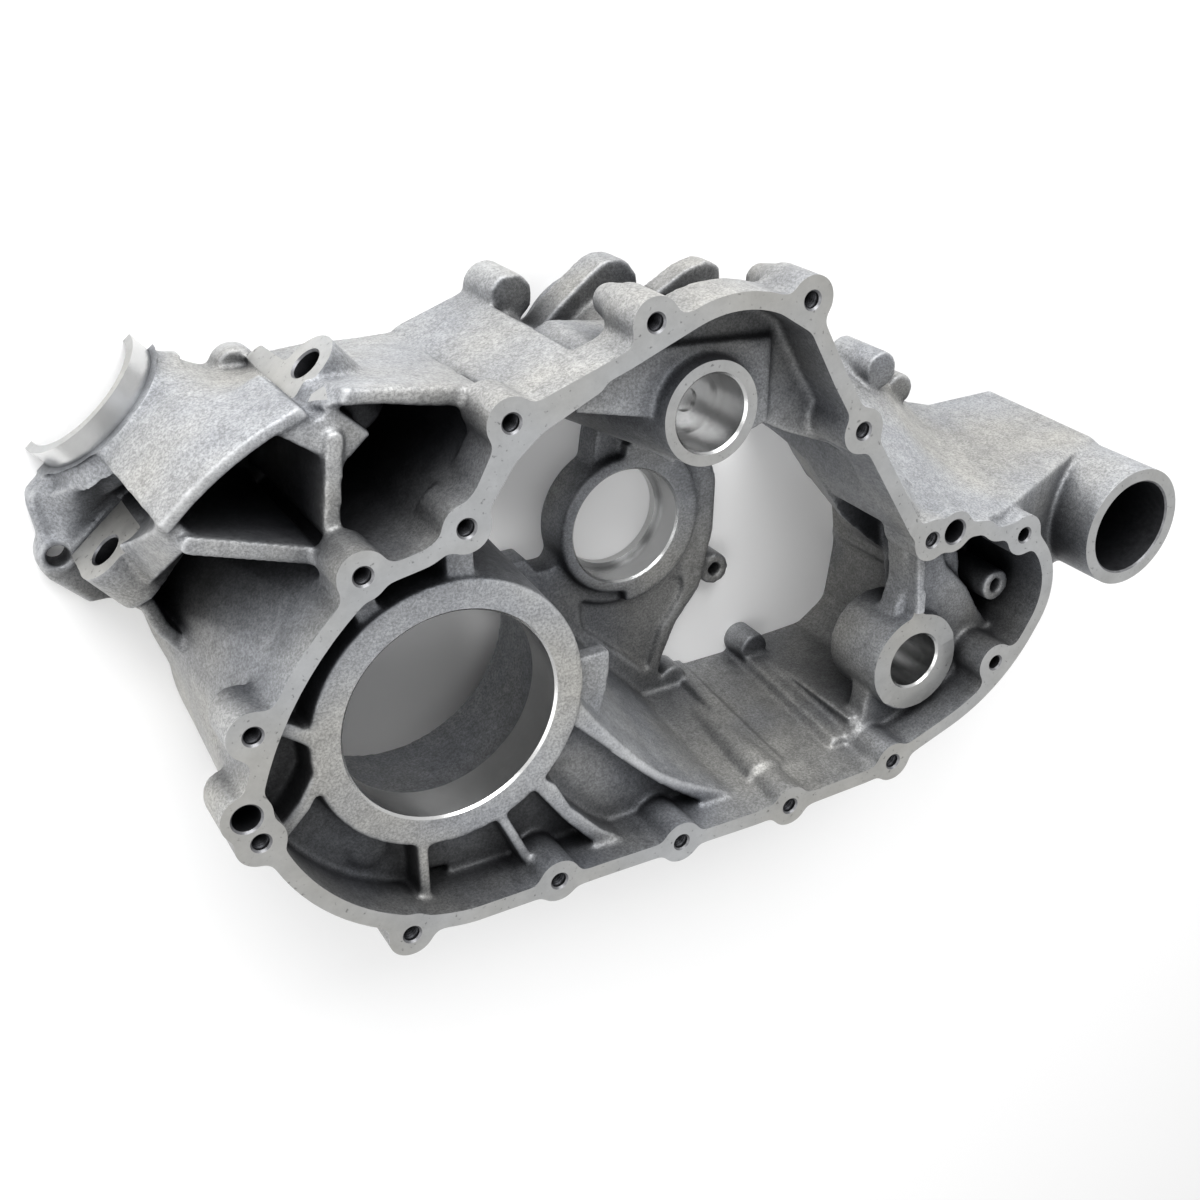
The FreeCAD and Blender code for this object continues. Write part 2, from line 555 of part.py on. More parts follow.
def bores():
    """Everything that is machined away."""
    cuts = [
        drum(0, 0, MAIN_R, SEAT_LEVEL - MAIN_SEAT, SEAT_LEVEL + 1),
        drum(0, 0, MAIN_RELIEF_R, -1, SEAT_LEVEL - MAIN_SEAT),
        drum(CUP_X, CUP_Y, CUP_R, SEAT_LEVEL - CUP_DEPTH, SEAT_LEVEL + 1),
        drum(CUP_X, CUP_Y, CUP_RELIEF_R, SEAT_LEVEL - CUP_DEPTH - CUP_RELIEF, SEAT_LEVEL),
        drum(MID_X, MID_Y, MID_R, MID_LEVEL - MID_SEAT, MID_LEVEL + 40),
        drum(MID_X, MID_Y, MID_R - MID_LIP, -1, MID_LEVEL),
        drum(SMALL_X, SMALL_Y, SMALL_R, -1, SEAT_LEVEL + 1),
        drum(TUBE_X, TUBE_Y, TUBE_BORE_R, CASE_DEPTH - TUBE_BORE_DEPTH, CASE_DEPTH + 1),
        drum(WEB_LUG_X, WEB_LUG_Y, WEB_LUG_HOLE_R, -1, 14),
        drum(SPOT_X, SPOT_Y, SCREW_R, SPOT_LEVEL - 18, SPOT_LEVEL + 1),
        drum(LUG_X, LUG_Y, LUG_HOLE_R, -1, 12),
        nose_drum(0, 0, PINION_LIP_R, PINION_BACK, PINION_END + 1),
        nose_drum(0, 0, SHAFT_R, PAD_2_BACK - 1, PINION_BACK + 1),
        nose_drum(0, 0, PINION_R, PINION_END - 2 - PINION_SEAT_DEPTH, PINION_END - 2),
        nose_drum(PAD_1_V, PAD_1_Z, PAD_SCREW_R, PAD_1_END - PAD_SCREW_DEPTH, PAD_1_END + 1),
        nose_drum(PAD_2_V, PAD_2_Z, PAD_SCREW_R, PAD_2_BACK - 1, PAD_2_END + 1),
    ]
    dimple_top = SEAT_LEVEL - CUP_DEPTH - CUP_RELIEF
    cuts.append(drum(CUP_X, CUP_Y, DIMPLE_R, dimple_top - DIMPLE_DEPTH, dimple_top + 1))
    slot = Part.makeBox(SLOT_REACH, SLOT_WIDTH, 20, vec(0, -SLOT_WIDTH / 2, SEAT_LEVEL - 34))
    slot.rotate(vec(0, 0), UP, -35)
    slot.translate(vec(SMALL_X, SMALL_Y))
    cuts.append(slot)
    for x, y, radius, level in ((0, 0, MAIN_R, SEAT_LEVEL), (CUP_X, CUP_Y, CUP_R, SEAT_LEVEL),
                                (MID_X, MID_Y, MID_R, MID_LEVEL), (SMALL_X, SMALL_Y, SMALL_R, SEAT_LEVEL)):
        cuts.append(taper(x, y, radius, radius + SEAT_CHAMFER, level - SEAT_CHAMFER, level))
    for x, y in RIM_SCREWS + RIM_PLAIN:
        cuts.append(drum(x, y, SCREW_R, CASE_DEPTH - SCREW_DEPTH, CASE_DEPTH + 1))
    for x, y in RIM_DOWELS:
        cuts.append(drum(x, y, DOWEL_R, CASE_DEPTH - DOWEL_DEPTH, CASE_DEPTH + 1))
    return cuts


def build():
    pieces = [rim(), main_floor(), main_hub(), floor_ribs(), chamber_wall(), rear_web(), cup_column(), top_lobe(),
              lower_wall(), rear_side(), small_plate(), right_pocket(), neck(), tube(), nose(), rear_lugs()]
    return fuse(pieces).cut(bores()).removeSplitter()


os.makedirs("parts", exist_ok=True)
housing = build()
housing.translate(vec(-ORIGIN_X, -ORIGIN_Y))
housing.exportStep("parts/housing.step")
box = housing.BoundBox
print(housing.isValid(), len(housing.Solids), len(housing.Faces), round(housing.Volume),
      [round(n, 2) for n in (box.XMin, box.XMax, box.YMin, box.YMax, box.ZMin, box.ZMax)])
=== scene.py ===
import json
import math

import bmesh
import bpy
import numpy as np
from mathutils import Matrix, Vector


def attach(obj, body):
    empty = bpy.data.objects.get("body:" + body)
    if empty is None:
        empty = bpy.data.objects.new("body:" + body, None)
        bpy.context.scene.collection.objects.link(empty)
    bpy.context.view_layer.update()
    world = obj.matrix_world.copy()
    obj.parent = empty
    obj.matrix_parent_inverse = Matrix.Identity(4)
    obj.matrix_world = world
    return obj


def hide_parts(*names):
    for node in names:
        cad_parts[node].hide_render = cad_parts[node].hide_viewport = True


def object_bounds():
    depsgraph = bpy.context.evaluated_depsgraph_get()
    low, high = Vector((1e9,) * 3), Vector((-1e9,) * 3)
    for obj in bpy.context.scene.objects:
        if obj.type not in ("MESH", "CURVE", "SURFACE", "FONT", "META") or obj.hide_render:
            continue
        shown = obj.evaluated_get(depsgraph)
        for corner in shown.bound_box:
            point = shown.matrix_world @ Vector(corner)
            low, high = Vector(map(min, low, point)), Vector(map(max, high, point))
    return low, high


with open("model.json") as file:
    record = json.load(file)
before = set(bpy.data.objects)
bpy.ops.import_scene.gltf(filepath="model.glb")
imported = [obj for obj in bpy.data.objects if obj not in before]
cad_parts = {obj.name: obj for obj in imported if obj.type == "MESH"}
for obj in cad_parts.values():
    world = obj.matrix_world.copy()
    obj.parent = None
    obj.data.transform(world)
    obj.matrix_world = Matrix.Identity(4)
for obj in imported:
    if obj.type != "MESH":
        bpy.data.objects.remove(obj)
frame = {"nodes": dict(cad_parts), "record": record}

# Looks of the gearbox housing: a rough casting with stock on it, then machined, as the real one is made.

bl_info = {
    "name": "Gearbox housing looks",
    "version": (1, 0, 0),
    "blender": (4, 5, 0),
    "location": "3D View > Sidebar > Housing",
    "description": "Builds the cast and machined looks of a gearbox housing half around its CAD model",
    "category": "Object",
}

CAD_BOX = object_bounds()
MOUNTS = {mount["name"]: mount for mount in frame["record"]["mounts"]}
CASE_DEPTH = MOUNTS["front_joint_face"]["pos_m"][2]
SEAT_LEVEL = 0.100            # machined ends of the main, cup and small bearing bosses
MID_LEVEL = 0.020             # front face of the mid bearing ring

# Turned seats: outer radius of the milled ring (0 where the ring stays as cast), foot of the plug that is
# cast in the bore, then the bore's steps as (radius, level)
SEATS = {
    "main_bearing_seat": (0.0, 0.080, ((0.045, 0.078), (0.045, SEAT_LEVEL))),
    "mid_bearing_seat": (0.0, -0.002, ((0.025, -0.010), (0.025, 0.004), (0.0275, 0.004),
                                       (0.0275, MID_LEVEL))),
    "cup_bearing_seat": (0.0214, 0.0785, ((0.005, 0.080), (0.005, 0.0815), (0.0133, 0.0815),
                                          (0.0133, 0.084), (0.016, 0.084), (0.016, SEAT_LEVEL))),
    "small_bearing_seat": (0.024, 0.0665, ((0.0135, 0.060), (0.0135, SEAT_LEVEL))),
}
SEAT_CHAMFER = 0.001

# Pinion nose: distances along its axis are from the main bearing axis, in the rear joint face
NOSE_FOOT = Vector((*MOUNTS["main_bearing_seat"]["pos_m"][:2], 0.0))
NOSE_AXIS = Vector(MOUNTS["pinion_half_seat"]["axis"]).normalized()
NOSE_SIDE = Vector((NOSE_AXIS.y, -NOSE_AXIS.x, 0.0))
NOSE_END = 0.156              # outer end of the half ring
NOSE_RING = 0.0285            # outer radius of the half ring
NOSE_TURNED = 0.147           # from here on the outside of the half ring is turned too
NOSE_SEAT = ((0.015, 0.099), (0.015, 0.134), (0.025, 0.134), (0.025, 0.140),
             (0.026, 0.140), (0.026, 0.154), (0.025, 0.154))
NOSE_SEAT_R = max(radius for radius, _ in NOSE_SEAT)
NOSE_PLUG = 0.1345            # foot of the cast plug in the half ring
PADS = {                      # end along the axis, then the pad's extent across it and in height
    "nose_screw_upper": (0.122, (0.0503, 0.0765), (0.012, 0.0675)),
    "nose_screw_lower": (0.121, (-0.0505, -0.0205), (0.0145, 0.0470)),
}

# Cast plugs and cutters
PLUG_MARGIN = 0.0008          # how much wider a cast plug is than the bore that is cut in it
HOLE_PLUG_SIDES = 32
SEAT_PLUG_SIDES = 48
FACE_MILL = (0.4, 0.3)        # reach of the cutters of the joint faces from the origin, along X and Y
FRONT_DEPTH = 0.020           # how much those cutters take off, in front and at the rear
REAR_DEPTH = 0.050
END_MILL = (0.035, 0.040)     # reach of the cutter of the nose's end from its axis, across it and in height
END_DEPTH = 0.020
PAD_DEPTH = 0.006
FACING = (0.003, 0.008)       # how far a facing cutter stands past its ring, and its height
CLEAR = 0.010                 # how far a boring bar or a drill stands out of the metal
RUN_OUT = 0.003               # how far the lower pad's drill breaks out behind its boss
WIDE_BORE = 0.012             # holes with a greater radius have as many sides as a seat

# Finishes
CAST, MILLED, TURNED, DRILLED = range(4)
SQUARE = 0.999                # cosine within which a face counts as square to an axis
ON_PLANE = 1e-5               # distances within which a point counts as on a plane or a turned surface
ON_ROUND = 1e-4
PAD_EDGE = 0.001              # how far past a pad, or the plug in the nose, a point still belongs to it
BEYOND = 0.0005               # the same for a milled ring and for the foot of a bore
HOLE_EDGE = 0.0011            # the same for the wall of a drilled hole, with its chamfer and thread
SHARP_ANGLE = 40
CREST_PASSES = 2

# Turn of the photograph's camera: its right, up and back axes are the columns
CAMERA_TURN = Matrix(((0.86507, 0.23380, -0.44383), (0.0, 0.88475, 0.46607), (0.50164, -0.40319, 0.76537)))
FLOOR_DROP = 0.0002           # how far the studio floor lies under the part
LIGHT_AIM = 0.05              # height that the lamps point at


class CastingSizes(bpy.types.PropertyGroup):
    """Sizes of the rough casting and of its machining."""

    grain: bpy.props.FloatProperty(
        name="Skin size", description="Size of the cells that the rough casting is made of",
        default=0.0012, unit="LENGTH")
    stock: bpy.props.FloatProperty(
        name="Stock", description="Metal left on each face that is machined",
        default=0.003, unit="LENGTH")
    rounding: bpy.props.IntProperty(
        name="Rounding", description="Passes that round the cast edges and fillets", default=9)
    triangles: bpy.props.IntProperty(
        name="Triangles", description="Most triangles that the casting keeps before machining",
        default=168000)
    chamfer: bpy.props.FloatProperty(
        name="Chamfer", description="Lead-in at the mouth of each machined hole",
        default=0.0008, unit="LENGTH")
    seat_segments: bpy.props.IntProperty(
        name="Seat segments", description="Straight sides round a bearing seat", default=128)
    hole_segments: bpy.props.IntProperty(
        name="Hole segments", description="Straight sides round a screw hole", default=40)
    thread_pitch: bpy.props.FloatProperty(
        name="Thread pitch", description="Distance between turns of the flange screw threads",
        default=0.00125, unit="LENGTH")
    thread_depth: bpy.props.FloatProperty(
        name="Thread depth", description="Height of a thread's turn",
        default=0.0006, unit="LENGTH")
    # Rounding of an edge below which it takes the full lighter crest colour
    crest_radius: bpy.props.FloatProperty(
        name="Crest radius", description="Rounding of an edge, below which it looks fully worn",
        default=0.0035, unit="LENGTH")
    # Reach of the painted shade in recesses: how far the casting's own metal darkens the metal that faces
    # it
    painted_shade_reach: bpy.props.FloatProperty(
        name="Recess reach", description="How far metal still darkens the metal that faces it",
        default=0.09, unit="LENGTH")


class FinishColours(bpy.types.PropertyGroup):
    """Colours of the metal and of the studio floor."""

    cast_light: bpy.props.FloatVectorProperty(
        name="Cast, light", description="Lighter patches of the cast skin",
        subtype="COLOR", size=3, default=(0.50, 0.51, 0.52))
    cast_dark: bpy.props.FloatVectorProperty(
        name="Cast, dark", description="Darker patches of the cast skin",
        subtype="COLOR", size=3, default=(0.34, 0.35, 0.37))
    stain: bpy.props.FloatVectorProperty(
        name="Stain", description="Warm tint of patches of the cast skin",
        subtype="COLOR", size=3, default=(0.90, 0.86, 0.78))
    # Colour that the sharp crests of ribs and edges are lightened towards
    lightened: bpy.props.FloatVectorProperty(
        name="Worn", description="Crests of ribs and edges that wear keeps bright",
        subtype="COLOR", size=3, default=(0.66, 0.67, 0.68))
    drilled: bpy.props.FloatVectorProperty(
        name="Drilled", description="Inside of drilled and tapped holes",
        subtype="COLOR", size=3, default=(0.30, 0.30, 0.31))
    milled: bpy.props.FloatVectorProperty(
        name="Milled", description="Milled joint faces",
        subtype="COLOR", size=3, default=(0.50, 0.51, 0.52))
    turned: bpy.props.FloatVectorProperty(
        name="Turned", description="Turned bearing seats",
        subtype="COLOR", size=3, default=(0.80, 0.80, 0.79))
    floor: bpy.props.FloatVectorProperty(
        name="Floor", description="Studio floor",
        subtype="COLOR", size=3, default=(0.95, 0.95, 0.95))


class StudioSettings(bpy.types.PropertyGroup):
    """Camera and lights."""

    camera_place: bpy.props.FloatVectorProperty(
        name="Camera place", description="Where the camera stands",
        subtype="TRANSLATION", unit="LENGTH", size=3, default=(-0.32327, 0.27940, 0.54444))
    camera_lens: bpy.props.FloatProperty(
        name="Lens", description="Focal length in millimetres", default=44.07)
    key_power: bpy.props.FloatProperty(
        name="Key light", description="Power of the light from the top of the picture",
        default=27.0, unit="POWER")
    fill_power: bpy.props.FloatProperty(
        name="Fill light", description="Power of the light beside the camera",
        default=6.0, unit="POWER")
    surround: bpy.props.FloatProperty(
        name="Surround", description="Strength of the soft light from all round", default=0.75)


def sizes():
    return bpy.context.scene.housing_sizes


def colours():
    return bpy.context.scene.housing_colours


def studio():
    return bpy.context.scene.housing_studio


def new_object(name, mesh):
    piece = bpy.data.objects.new(name, mesh)
    bpy.context.scene.collection.objects.link(piece)
    return piece


def mesh_of(bm, name):
    mesh = bpy.data.meshes.new(name)
    bm.to_mesh(mesh)
    bm.free()
    return mesh


def placed(origin, axis):
    """Transform that takes local Z to an axis, with its foot at a point."""
    turn = Vector((0, 0, 1)).rotation_difference(Vector(axis)).to_matrix().to_4x4()
    return Matrix.Translation(Vector(origin)) @ turn


def turn_profile(bm, profile, segments, place):
    """Closed solid of revolution from a profile of (radius, height) that starts and ends on the axis."""
    spots = [bm.verts.new((radius, 0.0, height)) for radius, height in profile]
    edges = [bm.edges.new(pair) for pair in zip(spots, spots[1:])]
    bmesh.ops.spin(bm, geom=spots + edges, cent=(0, 0, 0), axis=(0, 0, 1), dvec=(0, 0, 0),
                   angle=math.tau, steps=segments, use_merge=True, use_duplicate=False)
    fresh = set(spots)
    stack = list(spots)
    while stack:
        for edge in stack.pop().link_edges:
            for vert in edge.verts:
                if vert not in fresh:
                    fresh.add(vert)
                    stack.append(vert)
    verts = list(fresh)
    bmesh.ops.remove_doubles(bm, verts=verts, dist=1e-6)
    verts = [vert for vert in verts if vert.is_valid]
    bmesh.ops.transform(bm, matrix=place, verts=verts)
    faces = list({face for vert in verts for face in vert.link_faces})
    bmesh.ops.recalc_face_normals(bm, faces=faces)


def box(bm, low, high):
    place = Matrix.Translation((Vector(low) + Vector(high)) / 2) @ Matrix.Diagonal(
        (*(Vector(high) - Vector(low)), 1.0))
    bmesh.ops.create_cube(bm, size=1.0, matrix=place)


def nose_point(along, across, height):
    return NOSE_FOOT + NOSE_AXIS * along + NOSE_SIDE * across + Vector((0, 0, height))


def nose_box(bm, low, high):
    """Box whose sides are given along and across the pinion axis and in height."""
    box(bm, low, high)
    for vert in bm.verts:
        vert.co = nose_point(*vert.co)
    bmesh.ops.recalc_face_normals(bm, faces=bm.faces)


def bore_ends(mount):
    """Bottom point, axis, radius and length of a bore; upright bores open in the joint flange."""
    axis = Vector(mount["axis"]).normalized()
    radius = mount["dims"]["r_mm"] / 1000
    length = mount["dims"]["length_mm"] / 1000
    foot = Vector(mount["pos_m"]) - axis * (length / 2)
    if axis.z > 0.5:
        foot.z = CASE_DEPTH - length
    return foot, axis, radius, length


def holes():
    """Bore mounts that are drilled in one go; the turned seats are told in SEATS."""
    return [mount for name, mount in MOUNTS.items() if mount["dims"] and name not in SEATS]


def seat_level(name):
    """Level of the mouth of a turned seat."""
    return SEATS[name][2][-1][1]


def plug_profile(steps, foot, top):
    """Profile of the metal that fills a stepped bore before it is turned."""
    profile = [(0, foot)]
    for radius, level in steps:
        profile.append((radius + PLUG_MARGIN, max(level, foot)))
    return profile + [(profile[-1][0], top), (0, top)]


def cutter_mouth(radius, top, chamfer):
    """End of a cutter's profile: its chamfer cone runs on past the face, so that it crosses it cleanly."""
    wide = radius + 2 * chamfer
    return [(radius, top - chamfer), (wide, top + chamfer), (wide, top + CLEAR), (0, top + CLEAR)]


def cut_profile(steps, chamfer):
    """Profile of the boring bar or drill for a stepped bore."""
    return [(0, steps[0][1])] + list(steps[:-1]) + cutter_mouth(*steps[-1], chamfer)


def add_stock(vert):
    """Moves a point of a machined face out by the stock left on it."""
    stock = sizes().stock
    if vert.co.z > CASE_DEPTH - ON_PLANE:
        vert.co.z += stock
        return
    offset = vert.co - NOSE_FOOT
    along = offset.dot(NOSE_AXIS)
    across = offset.dot(NOSE_SIDE)
    if abs(along - NOSE_END) < ON_PLANE and abs(across) < NOSE_RING + ON_ROUND:
        vert.co += NOSE_AXIS * stock
    for end, sides, heights in PADS.values():
        inside = sides[0] < across < sides[1] and heights[0] - PAD_EDGE < vert.co.z < heights[1]
        if abs(along - end) < ON_PLANE and inside:
            vert.co += NOSE_AXIS * stock
            return
    if vert.co.z < ON_PLANE:
        vert.co.z -= stock
        return
    for name, (ring, _, _) in SEATS.items():
        centre = Vector(MOUNTS[name]["pos_m"])
        reach = (vert.co.xy - centre.xy).length
        if abs(vert.co.z - seat_level(name)) < ON_PLANE and reach < ring + BEYOND:
            vert.co.z += stock
            return


def rough_casting():
    """CAD mesh with stock on its machined faces and its bores plugged."""
    stock = sizes().stock
    bm = bmesh.new()
    bm.from_mesh(frame["nodes"]["housing"].data)
    bmesh.ops.remove_doubles(bm, verts=bm.verts, dist=1e-6)
    for vert in bm.verts:
        add_stock(vert)
    for mount in holes():
        foot, axis, radius, length = bore_ends(mount)
        profile = plug_profile(((radius, 0),), 0, length + 2 * stock)
        turn_profile(bm, profile, HOLE_PLUG_SIDES, placed(foot, axis))
    for name, (ring, foot, steps) in SEATS.items():
        centre = MOUNTS[name]["pos_m"]
        profile = plug_profile(steps, foot, steps[-1][1] + (2 * stock if ring else 0))
        turn_profile(bm, profile, SEAT_PLUG_SIDES, Matrix.Translation((centre[0], centre[1], 0)))
    for radius, foot in ((NOSE_SEAT_R, NOSE_PLUG), (NOSE_RING + stock, NOSE_TURNED)):
        profile = plug_profile(((radius, foot),), foot, NOSE_END + stock)
        turn_profile(bm, profile, SEAT_PLUG_SIDES, placed(NOSE_FOOT, NOSE_AXIS))
    return mesh_of(bm, "rough_casting")


def with_modifiers(piece, steps):
    """Mesh that a list of modifiers makes of a piece."""
    for kind, values in steps:
        modifier = piece.modifiers.new(kind.title(), kind)
        for key, value in values.items():
            setattr(modifier, key, value)
    bpy.context.view_layer.update()
    finished = piece.evaluated_get(bpy.context.evaluated_depsgraph_get())
    made = bpy.data.meshes.new_from_object(finished)
    piece.modifiers.clear()
    return made


def cast_skin(mesh):
    """Rounds the rough mesh as a casting is rounded, and thins it to its budget of triangles."""
    size = sizes()
    piece = new_object("casting_in_work", mesh)
    skin = with_modifiers(piece, [
        ("REMESH", {"mode": "VOXEL", "voxel_size": size.grain, "use_smooth_shade": True}),
        ("SMOOTH", {"factor": 0.5, "iterations": size.rounding}),
        ("TRIANGULATE", {}),
    ])
    share = min(1.0, size.triangles / max(1, len(skin.polygons)))
    piece.data = skin
    thin = with_modifiers(piece, [("DECIMATE", {"ratio": share})])
    bpy.data.objects.remove(piece)
    return thin


def thread_profile(radius, length, chamfer):
    """Profile of a tapped hole: its grooves are rings as deep as the thread."""
    size = sizes()
    profile = [(0, 0), (radius, 0)]
    level = 2 * size.thread_pitch
    while level < length - chamfer - size.thread_pitch:
        profile += [(radius, level), (radius + size.thread_depth, level + 0.5 * size.thread_pitch)]
        level += size.thread_pitch
    return profile + [(radius, level)] + cutter_mouth(radius, length, chamfer)


def cutters():
    """All the metal that machining takes off, as closed bodies; the parts of one body don't touch."""
    size = sizes()
    bodies = []

    def body():
        bm = bmesh.new()
        bodies.append(bm)
        return bm

    faces, facings, bars, drills = body(), body(), body(), body()
    wide, deep = FACE_MILL
    box(faces, (-wide, -deep, CASE_DEPTH), (wide, deep, CASE_DEPTH + FRONT_DEPTH))
    box(faces, (-wide, -deep, -REAR_DEPTH), (wide, deep, 0.0))
    wide, high = END_MILL
    nose_box(body(), (NOSE_END, -wide, -high), (NOSE_END + END_DEPTH, wide, high))
    for end, sides, heights in PADS.values():
        nose_box(body(), (end, sides[0], heights[0]), (end + PAD_DEPTH, sides[1], heights[1]))
    for name, (ring, _, steps) in SEATS.items():
        spot = Vector(MOUNTS[name]["pos_m"])
        spot.z = 0
        turn_profile(bars, cut_profile(steps, SEAT_CHAMFER), size.seat_segments, Matrix.Translation(spot))
        if ring:
            spot.z = seat_level(name)
            disc = [(0, 0), (ring + FACING[0], 0), (ring + FACING[0], FACING[1]), (0, FACING[1])]
            turn_profile(facings, disc, size.seat_segments, Matrix.Translation(spot))
    past = NOSE_END + CLEAR
    bar = [(0, NOSE_SEAT[0][1]), *NOSE_SEAT, (NOSE_SEAT[-1][0], past), (0, past)]
    wide = NOSE_RING + 2 * size.stock
    sleeve = [(NOSE_RING, NOSE_TURNED), (wide, NOSE_TURNED), (wide, past), (NOSE_RING, past),
              (NOSE_RING, NOSE_TURNED)]
    for profile in (bar, sleeve):
        turn_profile(body(), profile, size.seat_segments, placed(NOSE_FOOT, NOSE_AXIS))
    for mount in holes():
        foot, axis, radius, length = bore_ends(mount)
        if mount["name"] == "nose_screw_lower":
            foot, length = foot - axis * RUN_OUT, length + RUN_OUT
        if mount["kind"] == "threaded_hole":
            profile = thread_profile(radius, length, size.chamfer)
        else:
            profile = cut_profile(((radius, 0), (radius, length)), size.chamfer)
        segments = size.seat_segments if radius > WIDE_BORE else size.hole_segments
        turn_profile(drills, profile, segments, placed(foot, axis))
    return bodies


def machined(mesh):
    """Cuts the machined faces and bores out of the casting."""
    piece = new_object("casting_in_work", mesh)
    for bm in cutters():
        tool = new_object("cutter", mesh_of(bm, "cutter"))
        cut = {"operation": "DIFFERENCE", "solver": "MANIFOLD", "object": tool}
        piece.data = with_modifiers(piece, [("BOOLEAN", cut)])
        bpy.data.objects.remove(tool)
    bm = bmesh.new()
    bm.from_mesh(piece.data)
    bpy.data.objects.remove(piece)
    bmesh.ops.dissolve_degenerate(bm, dist=1e-6, edges=bm.edges)
    bmesh.ops.triangulate(bm, faces=[face for face in bm.faces if len(face.verts) > 3])
    return mesh_of(bm, "housing_casting")


def node(tree, kind, **values):
    made = tree.nodes.new(kind)
    for key, value in values.items():
        setattr(made, key, value)
    return made


def noise(tree, coordinates, scale, detail=4.0, rough=0.55):
    made = node(tree, "ShaderNodeTexNoise")
    made.inputs["Scale"].default_value = scale
    made.inputs["Detail"].default_value = detail
    made.inputs["Roughness"].default_value = rough
    tree.links.new(coordinates, made.inputs["Vector"])
    return made.outputs["Fac"]


def ramp(tree, value, stops):
    made = node(tree, "ShaderNodeValToRGB")
    while len(made.color_ramp.elements) < len(stops):
        made.color_ramp.elements.new(0.5)
    for element, (position, colour) in zip(made.color_ramp.elements, stops):
        element.position = position
        element.color = (*colour, 1.0)
    tree.links.new(value, made.inputs["Fac"])
    return made.outputs["Color"]


def grey(value):
    return (value, value, value)


def blend(tree, kind, share, first, second):
    """Mixes two colours; the share is a number or an output."""
    made = node(tree, "ShaderNodeMix", data_type="RGBA", blend_type=kind)
    if isinstance(share, float):
        made.inputs[0].default_value = share
    else:
        tree.links.new(share, made.inputs[0])
    tree.links.new(first, made.inputs[6])
    if isinstance(second, tuple):
        made.inputs[7].default_value = (*second, 1.0)
    else:
        tree.links.new(second, made.inputs[7])
    return made.outputs[2]


def grain_group():
    """Shared effect: metal grain as a bumped normal, from coordinates and a scale."""
    if "metal_grain" in bpy.data.node_groups:
        return bpy.data.node_groups["metal_grain"]
    group = bpy.data.node_groups.new("metal_grain", "ShaderNodeTree")
    group.interface.new_socket("Vector", in_out="INPUT", socket_type="NodeSocketVector")
    group.interface.new_socket("Scale", in_out="INPUT", socket_type="NodeSocketFloat")
    group.interface.new_socket("Strength", in_out="INPUT", socket_type="NodeSocketFloat")
    group.interface.new_socket("Normal", in_out="OUTPUT", socket_type="NodeSocketVector")
    entry = node(group, "NodeGroupInput")
    leave = node(group, "NodeGroupOutput")
    texture = node(group, "ShaderNodeTexNoise")
    texture.inputs["Detail"].default_value = 3.0
    texture.inputs["Roughness"].default_value = 0.7
    relief = node(group, "ShaderNodeBump")
    relief.inputs["Distance"].default_value = 0.0002
    group.links.new(entry.outputs["Vector"], texture.inputs["Vector"])
    group.links.new(entry.outputs["Scale"], texture.inputs["Scale"])
    group.links.new(entry.outputs["Strength"], relief.inputs["Strength"])
    group.links.new(texture.outputs["Fac"], relief.inputs["Height"])
    group.links.new(relief.outputs["Normal"], leave.inputs["Normal"])
    return group


def grain(tree, shader, coordinates, scale, strength):
    """Gives a shader the metal grain as its normal."""
    made = node(tree, "ShaderNodeGroup", node_tree=grain_group())
    made.inputs["Scale"].default_value = scale
    made.inputs["Strength"].default_value = strength
    tree.links.new(coordinates, made.inputs["Vector"])
    tree.links.new(made.outputs["Normal"], shader.inputs["Normal"])


def painted_shade_group():
    """Shared effect: painted shade, which darkens a colour where the casting's own metal stands around it.
    """
    if "painted_recess_shade" in bpy.data.node_groups:
        return bpy.data.node_groups["painted_recess_shade"]
    group = bpy.data.node_groups.new("painted_recess_shade", "ShaderNodeTree")
    group.interface.new_socket("Color", in_out="INPUT", socket_type="NodeSocketColor")
    group.interface.new_socket("Color", in_out="OUTPUT", socket_type="NodeSocketColor")
    entry = node(group, "NodeGroupInput")
    leave = node(group, "NodeGroupOutput")
    # Painted shade: ambient occlusion of the casting's own metal darkens the colour, down to near black in
    # deep recesses
    around = node(group, "ShaderNodeAmbientOcclusion", samples=6, only_local=True)
    around.inputs["Distance"].default_value = sizes().painted_shade_reach
    tone = ramp(group, around.outputs["AO"], [(0.12, (0.02, 0.021, 0.025)), (0.40, (0.16, 0.165, 0.18)),
                                              (0.70, (0.52, 0.53, 0.55)), (0.94, grey(1.0))])
    group.links.new(blend(group, "MULTIPLY", 1.0, entry.outputs["Color"], tone), leave.inputs["Color"])
    return group


def with_painted_shade(tree, colour):
    """Colour with painted shade darkening its recesses."""
    made = node(tree, "ShaderNodeGroup", node_tree=painted_shade_group())
    tree.links.new(colour, made.inputs["Color"])
    return made.outputs["Color"]


def surface(name, metallic):
    """New material, with its node tree, its shader and its object coordinates."""
    made = bpy.data.materials.new(name)
    made.use_nodes = True
    tree = made.node_tree
    shader = tree.nodes["Principled BSDF"]
    shader.inputs["Metallic"].default_value = metallic
    coordinates = node(tree, "ShaderNodeTexCoord").outputs["Object"]
    return made, tree, shader, coordinates


